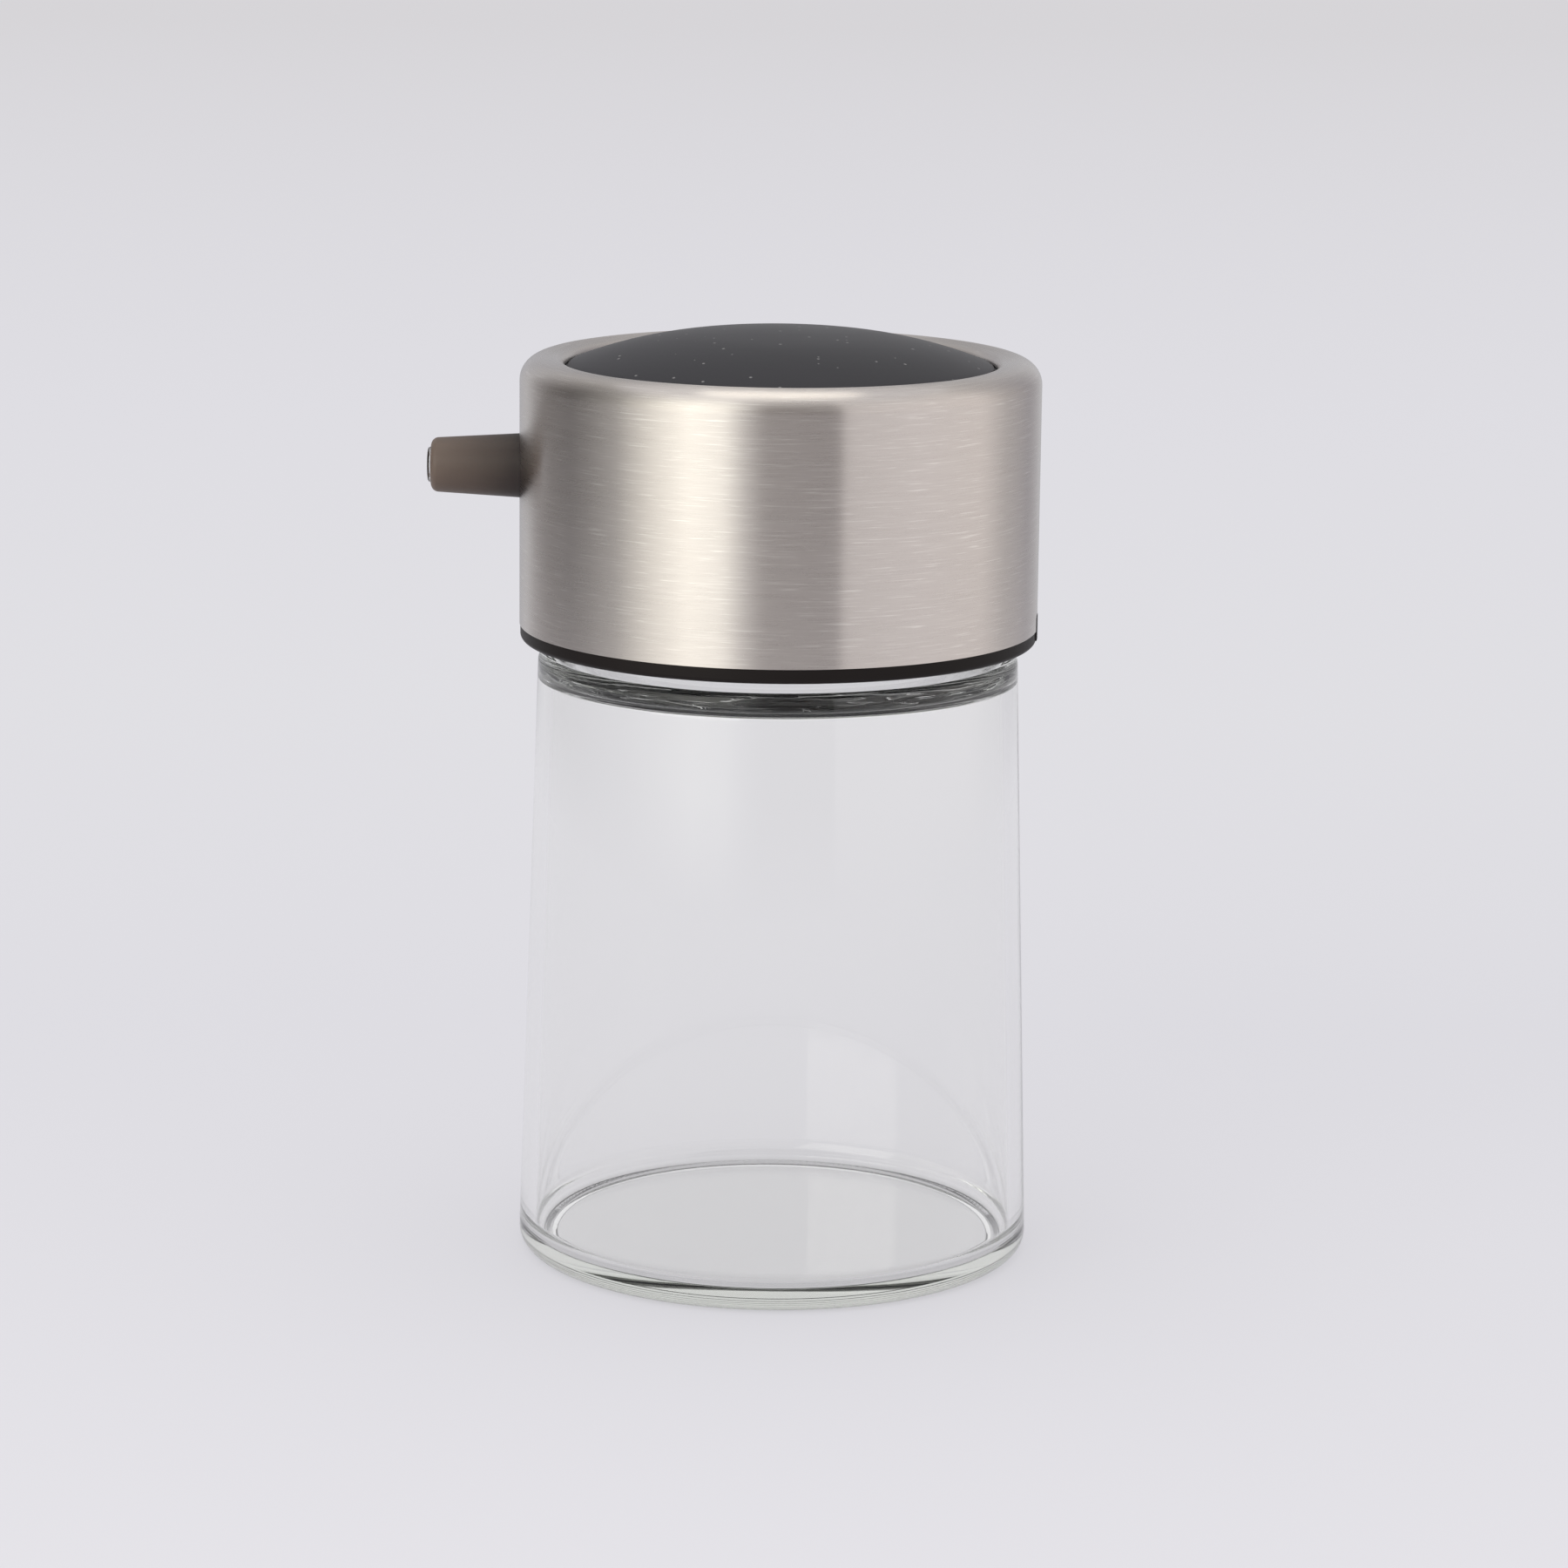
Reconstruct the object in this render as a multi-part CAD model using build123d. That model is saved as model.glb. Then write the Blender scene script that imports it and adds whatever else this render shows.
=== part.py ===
from build123d import *
import os
from math import asin, cos, degrees, pi, radians, sin, tan

# Soy sauce dispenser: a glass jar with a screw-on pump cap. Millimetres, +Z up.
# The origin is the middle of the foot, the spout points to -X and the cap's tab to +X.

# Steel cover, whose radius sets the cap and the neck inside it
cap_radius = 31.0
cover_height = 31.95
sheet = 0.5
cover_round = 2.8
cover_rim = 5.3
dish_angle = 11.0
lip_round = 1.0
cover_gap = 0.3

# Glass jar
jar_height = 84.0
neck_height = 9.6
foot_proud = 0.05
wall_taper = 2.3
shoulder_rise = 1.2
shoulder_round = 1.4
shoulder_glass = 2.3
glass_wall = 1.8
foot_glass = 2.2
neck_wall = 2.3
neck_round = 0.8
rim_round = 0.8
inner_round = 1.4
floor_round = 1.2
floor_thickness = 1.7
push_up = 0.5
foot_width = 1.75
heel_round = 2.0

# Screw thread, shared by the jar's neck and the cap's collar
thread_pitch = 4.0
thread_depth = 1.2
thread_root_width = 2.0
thread_crest_width = 1.0
thread_finish = 1.8
jar_thread_turns = 1.5
cap_thread_turns = 1.0
cap_thread_rise = 2.2
thread_side_gap = 0.35
thread_crest_gap = 0.35

# Neck gasket and the deck that presses it on the rim
gasket_thickness = 1.5
gasket_width = 2.9
deck_thickness = 1.6
deck_gap = 0.2
plug_depth = 3.5
plug_wall = 1.5
plug_gap = 0.3
lip_depth = 1.0
lip_wall = 0.45
lip_gap = 0.35

# Black cap base
collar_drop = 10.45
collar_wall = 1.6
collar_rib_depth = 1.35
collar_rib_width = 1.2
collar_rib_count = 24
ring_height = 1.75
ring_inset = 0.1
ring_round = 0.55
upper_wall = 1.5
step_height = 1.5
tab_width = 8.0
tab_height = 1.8
tab_proud = 0.05
snap_count = 6
snap_sweep = 14.0
snap_height = 1.6
snap_reach = 0.45

# Pump chamber, riser and air port
chamber_radius = 14.5
chamber_wall = 1.5
seat_width = 1.6
seat_thickness = 1.2
riser_radius = 3.1
riser_bore = 1.6
port_distance = 9.0
port_radius = 2.2
port_bore = 1.2
port_height = 5.0
gusset_count = 6
gusset_thickness = 1.2
gusset_height = 4.5

# Spout: clear tube and rubber nozzle
tube_radius = 2.1
tube_bore = 1.1
tube_stop = 1.8
tube_proud = 0.4
socket_radius = 3.6
nozzle_length = 10.55
nozzle_root_radius = 3.82
nozzle_tip_radius = 3.2
nozzle_tip_round = 0.9
nozzle_flange_radius = 4.9
nozzle_flange_thickness = 1.2
nozzle_flange_gap = 0.9
nozzle_clamp_gap = 0.34
nozzle_hole_gap = 0.12

# Diaphragm: a rubber dome that seals the chamber and returns the button
web_thickness = 1.0
web_fullness = 0.7
dome_height = 4.9
hub_radius = 7.5

# Clamp ring
clamp_thickness = 1.3
clamp_wall = 1.5
clamp_top_gap = 0.3
spigot_depth = 1.5

# Push button
button_travel = 3.0
button_gap = 0.4
button_sink = 0.85
button_wall = 1.7
crown_flat = 10.0
crown_radius = 110.0
crown_edge_radius = 55.0
crown_edge_round = 0.6
flange_width = 1.55
flange_thickness = 1.1
flange_gap = 0.15
stop_gap = 1.25
guide_gap = 0.35
boss_radius = 6.5
boss_wall = 1.8
button_rib_count = 6
button_rib_thickness = 1.2
button_rib_lift = 0.8

# Clearances and small shared sizes: join is how far a feature runs into the one that carries
# it, past is how far a cut runs beyond what it cuts
fit_gap = 0.05
small_gap = 0.1
edge_round = 0.3
join = 0.1
past = 1.0

# Radii that follow, from the cover inward to the jar's neck
base_radius = cap_radius + foot_proud
shoulder_radius = base_radius - wall_taper
hole_radius = cap_radius - cover_rim
ring_radius = cap_radius - ring_inset
wall_radius = cap_radius - sheet - cover_gap
wall_bore = wall_radius - upper_wall
collar_radius = wall_radius - collar_rib_depth
collar_bore = collar_radius - collar_wall
neck_radius = collar_bore - thread_crest_gap - thread_depth
neck_bore = neck_radius - neck_wall
plug_radius = neck_bore - plug_gap
gasket_radius = neck_bore + gasket_width
deck_radius = wall_bore - deck_gap
chamber_outside = chamber_radius + chamber_wall
seat_radius = chamber_outside + seat_width
button_radius = hole_radius - button_gap
flange_radius = button_radius + flange_width
clamp_bore = flange_radius + guide_gap
clamp_inside = chamber_radius + web_thickness + cover_gap

# Reaches that follow, along the spout
riser_distance = chamber_outside + riser_radius - chamber_wall / 2
tube_seat = riser_distance + riser_bore + tube_stop
socket_reach = cap_radius - sheet - nozzle_flange_gap - nozzle_flange_thickness
nozzle_reach = cap_radius + nozzle_length
tube_reach = nozzle_reach + tube_proud

# Heights that follow, from the jar's rim up to the cover's lip and down to the chamber
shoulder_height = jar_height - neck_height - shoulder_rise
jar_thread_start = jar_height - thread_finish - thread_pitch * jar_thread_turns
deck_bottom = jar_height + gasket_thickness
deck_top = deck_bottom + deck_thickness
ring_bottom = deck_bottom - collar_drop
ring_top = ring_bottom + ring_height
cover_crest = ring_top + cover_height
dish = radians(dish_angle)
dish_run = cap_radius - cover_round * (1 + sin(dish)) - hole_radius - lip_round * (1 - sin(dish))
dish_end = cover_crest - cover_round * (1 - cos(dish)) - dish_run * tan(dish)
flange_top = dish_end - lip_round * cos(dish) - flange_gap
flange_bottom = flange_top - flange_thickness
clamp_top = flange_bottom - button_travel - stop_gap
clamp_bottom = clamp_top - clamp_thickness
chamber_top = clamp_bottom - web_thickness
hub_top = chamber_top + dome_height
spout_height = clamp_bottom - nozzle_flange_radius - nozzle_clamp_gap


def revolved(*corners):
    """Turn a closed outline of (radius, height, rounding) corners about the upright axis."""
    points = [(corner[0], corner[1]) for corner in corners]
    rounding = [corner[2] for corner in corners]
    path = FilletPolyline(*points, radius=rounding, close=True)
    return revolve(Plane.XZ * make_face(path), axis=Axis.Z)


def turned_spout(*corners):
    """Turn an outline of (reach, radius, rounding) corners about the spout's level axis."""
    points = [(-corner[0], spout_height + corner[1]) for corner in corners]
    rounding = [corner[2] for corner in corners]
    path = FilletPolyline(*points, radius=rounding, close=True)
    return revolve(Plane.XZ * make_face(path), axis=Axis((0, 0, spout_height), (1, 0, 0)))


def upright(radius, low, high, distance=0.0):
    """A plain post or drill between two heights, at a distance along X."""
    return Pos(distance, 0, (low + high) / 2) * Cylinder(radius, high - low)


def ring_of(piece, count, first=0.0):
    """Copies of a piece, evenly spaced about the upright axis."""
    return [Rot(0, 0, first + 360 * step / count) * piece for step in range(count)]


def thread_ridge(root_radius, depth, start, turns):
    """Right-hand thread ridge with round ends; a negative depth points inward."""
    helix = Helix(thread_pitch, thread_pitch * turns, root_radius, center=(0, 0, start))
    half_root = thread_root_width / 2
    half_crest = thread_crest_width / 2
    buried = 3 * join
    half_buried = half_root + (half_root - half_crest) * buried / abs(depth)
    root = -buried if depth > 0 else buried
    half = make_face(Polyline((root, 0), (depth, 0), (depth, half_crest), (root, half_buried), close=True))
    whole = half + mirror(half, about=Plane.XZ)
    first = Plane(origin=helix @ 0, x_dir=(1, 0, 0), z_dir=helix % 0)
    last = Plane(origin=helix @ 1, x_dir=(Rot(0, 0, 360 * turns) * Pos(1, 0, 0)).position, z_dir=helix % 1)
    ridge = sweep(first * whole, path=helix, is_frenet=True)
    for plane, half_turn in ((first, -180), (last, 180)):
        ridge += revolve(plane * half, axis=Axis(plane.origin, plane.x_dir), revolution_arc=half_turn)
    return ridge


def glass_jar():
    """Pressed glass: tapered wall, pushed-up floor, round shoulder and threaded neck."""
    floor = push_up + floor_thickness
    foot_inside = base_radius - heel_round - foot_width
    recess_slope = 2 * push_up
    inner_shoulder = shoulder_height - shoulder_glass
    body = revolved(
        (0, push_up, 0),
        (foot_inside - recess_slope, push_up, recess_slope / 2),
        (foot_inside, 0, edge_round),
        (base_radius, 0, heel_round),
        (shoulder_radius, shoulder_height, shoulder_round),
        (neck_radius, shoulder_height + shoulder_rise, neck_round),
        (neck_radius, jar_height, rim_round),
        (neck_bore, jar_height, rim_round),
        (neck_bore, inner_shoulder + shoulder_rise, inner_round),
        (shoulder_radius - glass_wall, inner_shoulder, inner_round),
        (base_radius - foot_glass, floor, floor_round),
        (0, floor, 0),
    )
    return body + thread_ridge(neck_radius, thread_depth, jar_thread_start, jar_thread_turns)


def neck_gasket():
    """Flat silicone ring between the jar's rim and the deck."""
    return revolved(
        (neck_bore, jar_height, edge_round),
        (gasket_radius, jar_height, edge_round),
        (gasket_radius, deck_bottom, edge_round),
        (neck_bore, deck_bottom, edge_round),
    )


def collar_thread():
    """The cap's own ridge, turned until it lies a side gap below the jar's."""
    start = ring_bottom + cap_thread_rise
    mean_width = (thread_root_width + thread_crest_width) / 2
    below = mean_width + thread_side_gap
    turned = 360 * (start - jar_thread_start + below) / thread_pitch
    ridge = thread_ridge(collar_bore, -thread_depth + fit_gap, start, cap_thread_turns)
    return Rot(0, 0, turned) * ridge


def cap_base():
    """Black moulded collar: screw thread inside, flange ring and rear tab outside."""
    body = revolved(
        (collar_bore, ring_bottom, edge_round),
        (ring_radius, ring_bottom, ring_round),
        (ring_radius, ring_top, 0),
        (collar_radius, ring_top, edge_round),
        (collar_radius, deck_bottom - 2 * step_height, edge_round),
        (wall_radius, deck_bottom - step_height, 0),
        (wall_radius, clamp_bottom, edge_round),
        (wall_bore, clamp_bottom, edge_round),
        (wall_bore, deck_bottom, 0),
        (collar_bore, deck_bottom, edge_round),
    )
    rib_height = deck_bottom - step_height - ring_top
    rib = Pos(collar_radius + collar_rib_depth / 2 - join, 0, ring_top + rib_height / 2) * Box(
        collar_rib_depth, collar_rib_width, rib_height
    )
    body += ring_of(rib, collar_rib_count, first=180 / collar_rib_count)
    tab_ring = revolved(
        (wall_radius - join, ring_bottom + ring_round, 0),
        (cap_radius + tab_proud, ring_bottom + ring_round, 0),
        (cap_radius + tab_proud, ring_top + tab_height, edge_round),
        (wall_radius - join, ring_top + tab_height, 0),
    )
    body += tab_ring & Pos(cap_radius, 0, ring_top) * Box(cap_radius, tab_width, 3 * tab_height)
    snap_profile = Polyline(
        (wall_bore + join, deck_top + fit_gap),
        (wall_bore - snap_reach, deck_top + fit_gap),
        (wall_bore + join, deck_top + fit_gap + snap_height),
        close=True,
    )
    snap = revolve(Plane.XZ * make_face(snap_profile), axis=Axis.Z, revolution_arc=snap_sweep)
    body += ring_of(snap, snap_count, first=-snap_sweep / 2)
    slot_half = nozzle_flange_radius + 2 * cover_gap
    slot_low = spout_height - slot_half
    slot_height = clamp_bottom - slot_low + past
    slot = Pos(-wall_bore, 0, slot_low + slot_height / 2) * Box(4 * upper_wall, 2 * slot_half, slot_height)
    return body - slot + collar_thread()


def gusset():
    """Three-cornered web that stiffens the deck against the chamber wall."""
    foot = wall_bore - snap_reach - cover_gap
    start = chamber_outside - join
    side = Polyline(
        (start, deck_top - join),
        (foot, deck_top - join),
        (start, deck_top + gusset_height),
        close=True,
    )
    return extrude(Plane.XZ * make_face(side), gusset_thickness / 2, both=True)


def pump_body():
    """Natural plastic inner part: deck, neck plug, air chamber, riser and spout socket."""
    body = upright(deck_radius, deck_bottom, deck_top)
    body += revolved(
        (plug_radius - plug_wall, deck_bottom - plug_depth, edge_round),
        (plug_radius, deck_bottom - plug_depth, edge_round),
        (plug_radius, deck_bottom + join, 0),
        (plug_radius - plug_wall, deck_bottom + join, 0),
    )
    lip_radius = gasket_radius + lip_gap
    body += revolved(
        (lip_radius, deck_bottom - lip_depth, 0),
        (lip_radius + lip_wall, deck_bottom - lip_depth, 0),
        (lip_radius + lip_wall, deck_bottom + join, 0),
        (lip_radius, deck_bottom + join, 0),
    )
    body += revolved(
        (chamber_radius, deck_top - join, 0),
        (chamber_outside, deck_top - join, 0),
        (chamber_outside, chamber_top - seat_thickness - seat_width, edge_round),
        (seat_radius, chamber_top - seat_thickness, edge_round),
        (seat_radius, chamber_top, edge_round),
        (chamber_radius, chamber_top, edge_round),
    )
    body += upright(riser_radius, deck_top - join, spout_height, -riser_distance)
    body += turned_spout(
        (chamber_radius + join, 0, 0),
        (socket_reach, 0, 0),
        (socket_reach, socket_radius, edge_round),
        (chamber_radius + join, socket_radius, 0),
    )
    gussets = ring_of(gusset(), gusset_count)
    body += [piece for step, piece in enumerate(gussets) if 2 * step != gusset_count]
    body += upright(port_radius, deck_top - join, deck_top + port_height, port_distance)
    body -= upright(port_bore, deck_bottom - past, deck_top + port_height + past, port_distance)
    body -= upright(riser_bore, deck_bottom - past, spout_height + tube_bore, -riser_distance)
    body -= turned_spout(
        (riser_distance, 0, 0),
        (tube_seat, 0, 0),
        (tube_seat, tube_bore, 0),
        (riser_distance, tube_bore, 0),
    )
    body -= turned_spout(
        (tube_seat, 0, 0),
        (socket_reach + past, 0, 0),
        (socket_reach + past, tube_radius + fit_gap, 0),
        (tube_seat, tube_radius + fit_gap, 0),
    )
    return body


def pump_diaphragm():
    """Rubber dome: flat rim on the chamber seat, curved web and flat hub under the button."""
    web_foot = chamber_radius + web_thickness / 2
    rim = Line((seat_radius, clamp_bottom), (web_foot, clamp_bottom))
    rise = hub_top - clamp_bottom
    web = Bezier(
        rim @ 1,
        (web_foot - rise / 8, clamp_bottom + web_fullness * rise),
        (hub_radius + rise, hub_top),
        (hub_radius, hub_top),
    )
    hub = Line(web @ 1, (0, hub_top))
    inner_foot = web_foot - web_thickness
    hub_under = Line((0, hub_top - web_thickness), (hub_radius, hub_top - web_thickness))
    web_under = Bezier(
        hub_under @ 1,
        (hub_radius + rise - web_thickness, hub_top - web_thickness),
        (inner_foot - rise / 8, clamp_bottom + web_fullness * rise - web_thickness),
        (inner_foot, chamber_top),
    )
    rim_under = Line(web_under @ 1, (seat_radius, chamber_top))
    edge = Line(rim_under @ 1, rim @ 0)
    middle = Line(hub @ 1, hub_under @ 0)
    section = make_face(rim + web + hub + middle + hub_under + web_under + rim_under + edge)
    return revolve(Plane.XZ * section, axis=Axis.Z)


def clamp_ring():
    """Black ring: clamps the diaphragm, guides the button and is notched over the spout."""
    wall_outside = clamp_bore + clamp_wall
    top = cover_crest - sheet - clamp_top_gap
    spigot_outside = wall_bore - small_gap
    body = revolved(
        (clamp_inside, clamp_bottom, edge_round),
        (spigot_outside - clamp_wall, clamp_bottom, 0),
        (spigot_outside - clamp_wall, clamp_bottom - spigot_depth, 0),
        (spigot_outside, clamp_bottom - spigot_depth, edge_round),
        (spigot_outside, clamp_bottom, 0),
        (wall_radius, clamp_bottom, 0),
        (wall_radius, clamp_top, edge_round),
        (wall_outside, clamp_top, edge_round),
        (wall_outside, top, edge_round),
        (clamp_bore, top, edge_round),
        (clamp_bore, clamp_top, edge_round),
        (clamp_inside, clamp_top, edge_round),
    )
    half_notch = nozzle_flange_radius + cover_gap
    notch = Pos(-spigot_outside, 0, clamp_bottom - spigot_depth / 2) * Box(
        4 * clamp_wall, 2 * half_notch, spigot_depth
    )
    return body - notch


def crown_lines(inset=0.0):
    """The button's crowned top as two tangent arcs, moved inward by an inset."""
    first_angle = asin(crown_flat / crown_radius)
    edge_sine = sin(first_angle) + (button_radius - crown_flat) / crown_edge_radius
    second_angle = asin(edge_sine) - first_angle
    fall = crown_radius * (1 - cos(first_angle))
    fall += crown_edge_radius * (cos(first_angle) - cos(first_angle + second_angle))
    apex = cover_crest - button_sink + fall
    middle = JernArc((0, apex - inset), (1, 0), crown_radius - inset, -degrees(first_angle))
    edge = JernArc(middle @ 1, middle % 1, crown_edge_radius - inset, -degrees(second_angle))
    return middle, edge


def under_crown(inset, low):
    """Everything under the crown, down to a height, with the crown moved inward by an inset."""
    middle, edge = crown_lines(inset)
    sides = Polyline(edge @ 1, ((edge @ 1).X, low), (0, low), middle @ 0)
    return revolve(Plane.XZ * make_face(middle + edge + sides), axis=Axis.Z)


def push_button():
    """Crowned rubber-faced button: skirt, stop flange, ribs and a boss on the dome's hub."""
    middle, edge = crown_lines()
    sides = Polyline(
        edge @ 1,
        (button_radius, flange_top),
        (flange_radius, flange_top),
        (flange_radius, flange_bottom),
        (0, flange_bottom),
        middle @ 0,
    )
    section = make_face(middle + edge + sides)
    corner = section.vertices().sort_by_distance(edge @ 1)[0]
    section = fillet(corner, crown_edge_round)
    skirt_bore = button_radius - button_wall
    beyond = cover_crest + crown_flat
    low = flange_bottom - past
    hollow = under_crown(button_wall, low) & upright(skirt_bore, low, beyond)
    shell = revolve(Plane.XZ * section, axis=Axis.Z) - hollow
    rib_start = boss_radius - boss_wall / 2
    rib_length = skirt_bore + join - rib_start
    rib_low = flange_bottom + button_rib_lift
    rib = Pos(rib_start + rib_length / 2, 0, (rib_low + beyond) / 2) * Box(
        rib_length, button_rib_thickness, beyond - rib_low
    )
    inside = upright(boss_radius, hub_top, beyond)
    for piece in ring_of(rib, button_rib_count):
        inside += piece
    inside -= upright(boss_radius - boss_wall, hub_top - past, beyond + past)
    return shell + (inside & under_crown(button_wall / 2, hub_top))


def steel_cover():
    """Drawn stainless shell: round top corner, dished rim, turned-down lip round the button."""
    wall = Line((cap_radius, ring_top), (cap_radius, cover_crest - cover_round))
    corner = JernArc(wall @ 1, wall % 1, cover_round, 90 + dish_angle)
    slope = Line(corner @ 1, corner @ 1 + (corner % 1) * (dish_run / cos(dish)))
    lip = JernArc(slope @ 1, slope % 1, lip_round, 90 - dish_angle)
    section = make_face(offset(wall + corner + slope + lip, amount=sheet, side=Side.LEFT))
    shell = revolve(Plane.XZ * section, axis=Axis.Z)
    hole = Pos(-cap_radius, 0, spout_height) * Rot(0, 90, 0) * Cylinder(
        nozzle_root_radius + nozzle_hole_gap, cap_radius / 2
    )
    notch_height = tab_height + small_gap
    notch = Pos(cap_radius, 0, ring_top) * Box(
        cap_radius / 2, tab_width + 2 * small_gap, 2 * notch_height
    )
    return shell - hole - notch


def spout_tube():
    """Clear rigid tube from the riser to just past the nozzle's tip."""
    return turned_spout(
        (tube_seat, tube_bore, 0),
        (tube_reach, tube_bore, edge_round),
        (tube_reach, tube_radius, edge_round),
        (tube_seat, tube_radius, edge_round),
    )


def nozzle():
    """Tapered rubber sleeve over the tube, held by a flange inside the cover."""
    bore = tube_radius + fit_gap
    flange_front = socket_reach + nozzle_flange_thickness
    return turned_spout(
        (socket_reach, bore, 0),
        (nozzle_reach, bore, edge_round),
        (nozzle_reach, nozzle_tip_radius, nozzle_tip_round),
        (cap_radius, nozzle_root_radius, 0),
        (flange_front, nozzle_root_radius, 0),
        (flange_front, nozzle_flange_radius, edge_round),
        (socket_reach, nozzle_flange_radius, edge_round),
    )


os.makedirs("parts", exist_ok=True)
pieces = {
    "glass_jar": glass_jar(),
    "neck_gasket": neck_gasket(),
    "cap_base": cap_base(),
    "pump_body": pump_body(),
    "pump_diaphragm": pump_diaphragm(),
    "clamp_ring": clamp_ring(),
    "push_button": push_button(),
    "steel_cover": steel_cover(),
    "spout_tube": spout_tube(),
    "nozzle": nozzle(),
}
for name, piece in pieces.items():
    piece.label = name
    export_step(piece, f"parts/{name}.step")
print("lift of the cap for each turn", thread_pitch, "mm; a radian lifts", thread_pitch / (2 * pi))
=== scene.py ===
import math

import bpy
from mathutils import Matrix, Vector


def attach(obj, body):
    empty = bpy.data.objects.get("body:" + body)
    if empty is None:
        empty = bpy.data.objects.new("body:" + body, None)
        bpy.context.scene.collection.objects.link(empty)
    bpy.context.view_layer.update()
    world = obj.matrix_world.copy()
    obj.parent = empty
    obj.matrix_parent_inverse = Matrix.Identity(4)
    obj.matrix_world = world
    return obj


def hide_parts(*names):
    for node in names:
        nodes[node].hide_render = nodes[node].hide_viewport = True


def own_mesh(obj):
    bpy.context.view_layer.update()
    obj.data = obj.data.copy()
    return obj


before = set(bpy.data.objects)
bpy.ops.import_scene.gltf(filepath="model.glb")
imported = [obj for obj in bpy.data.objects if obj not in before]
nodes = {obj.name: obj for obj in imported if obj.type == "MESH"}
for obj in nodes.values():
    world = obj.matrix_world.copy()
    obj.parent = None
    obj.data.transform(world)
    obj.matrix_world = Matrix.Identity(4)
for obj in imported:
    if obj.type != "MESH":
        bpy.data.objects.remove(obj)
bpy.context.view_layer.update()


# The clear glass jar: pressed soda glass with a tapered wall, a pushed-up floor and a rounded
# shoulder. Its threaded neck goes up into the cap's black collar, and the foot rests on the table.

MM = 0.001
ROUND_STEP = math.radians(12)
AROUND = 192
MERGE_WITHIN = MM * 0.001
SHARP_ANGLE = math.radians(32)

PUSH_UP = 0.5
FLOOR_TOP = 2.2
NECK_RADIUS = 25.7
NECK_BORE = 23.4
JAR_TOP = 84.0
JAR_OUTLINE = (
    (0.0, PUSH_UP, 0.0),
    (26.3, PUSH_UP, 0.5),
    (27.3, 0.0, 0.3),
    (31.05, 0.0, 2.0),
    (28.75, 73.2, 1.4),
    (NECK_RADIUS, 74.4, 0.8),
    (NECK_RADIUS, JAR_TOP, 0.8),
    (NECK_BORE, JAR_TOP, 0.8),
    (NECK_BORE, 72.1, 1.4),
    (26.95, 70.9, 1.4),
    (29.0, FLOOR_TOP, 2.4),
    (0.0, FLOOR_TOP, 0.0),
)
NECK_THREAD_START = 76.2
NECK_THREAD_TURNS = 1.5
THREAD_PITCH = 4.0
THREAD_ROOT = 1.0
THREAD_CREST = 0.5
THREAD_DEPTH = 1.2
THREAD_BURIED = 0.3
THREAD_FADE = math.radians(14)

GLASS_COLOUR = (0.995, 0.995, 0.99, 1)
GLASS_IOR = 1.5
GLASS_TINT = (0.87, 0.88, 0.855, 1)
GLASS_TINT_DENSITY = 42.0
GLASS_WAVE = 0.00006
CHILL_RISES = (0.0705, 0.0735, 0.0, 12.0)
CHILL_FADES = (0.0755, 0.0785, 1.0, 0.15)
LIGHT_PASSED = (0.91, 0.91, 0.90, 1)


def rounded(corners):
    """Points of an outline whose (across, up, rounding) corners become arcs, in metres."""
    points = []
    for index, (across, up, radius) in enumerate(corners):
        corner = Vector((across, up))
        if radius == 0:
            points.append(corner * MM)
            continue
        before = (Vector(corners[index - 1][:2]) - corner).normalized()
        after = (Vector(corners[(index + 1) % len(corners)][:2]) - corner).normalized()
        half = before.angle(after) / 2
        middle = corner + (before + after).normalized() * (radius / math.sin(half))
        start = corner + before * (radius / math.tan(half)) - middle
        turn = math.pi - 2 * half
        if before.cross(after) > 0:
            turn = -turn
        count = max(2, math.ceil(abs(turn) / ROUND_STEP))
        for step in range(count + 1):
            angle = turn * step / count
            arm = Vector(
                (
                    start.x * math.cos(angle) - start.y * math.sin(angle),
                    start.x * math.sin(angle) + start.y * math.cos(angle),
                )
            )
            points.append((middle + arm) * MM)
    return points


def drawn(name, points, closed):
    """A wire of edges through the points, left selected in edit mode."""
    bpy.ops.object.select_all(action="DESELECT")
    bpy.ops.mesh.primitive_plane_add(size=MM)
    piece = bpy.context.object
    piece.name = name
    bpy.ops.object.mode_set(mode="EDIT")
    bpy.ops.mesh.merge(type="CENTER")
    bpy.ops.transform.translate(value=points[0])
    for here, there in zip(points, points[1:]):
        bpy.ops.mesh.extrude_vertices_move(TRANSFORM_OT_translate={"value": there - here})
    if closed:
        bpy.ops.object.mode_set(mode="OBJECT")
        for vertex in piece.data.vertices:
            vertex.select = vertex.index in (0, len(points) - 1)
        bpy.ops.object.mode_set(mode="EDIT")
        bpy.ops.mesh.edge_face_add()
    bpy.ops.mesh.select_all(action="SELECT")
    return piece


def finished(piece):
    """Merge what meets and turn every face outward."""
    bpy.ops.mesh.select_all(action="SELECT")
    bpy.ops.mesh.remove_doubles(threshold=MERGE_WITHIN)
    bpy.ops.mesh.normals_make_consistent(inside=False)
    bpy.ops.object.mode_set(mode="OBJECT")
    return piece


def turned(name, corners, closed=False, level=None, around=AROUND):
    """A lathe-turned piece about the upright axis, or about the level axis at a given height."""
    points = []
    for point in rounded(corners):
        if level is None:
            points.append(Vector((point.x, 0, point.y)))
        else:
            points.append(Vector((-point.x, 0, level * MM + point.y)))
    piece = drawn(name, points, closed)
    centre = (0, 0, 0) if level is None else (0, 0, level * MM)
    axis = (0, 0, 1) if level is None else (1, 0, 0)
    bpy.ops.mesh.spin(steps=around, angle=math.tau, center=centre, axis=axis)
    return finished(piece)


def picked(piece):
    """Select this piece alone."""
    bpy.ops.object.select_all(action="DESELECT")
    piece.select_set(True)
    bpy.context.view_layer.objects.active = piece


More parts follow.
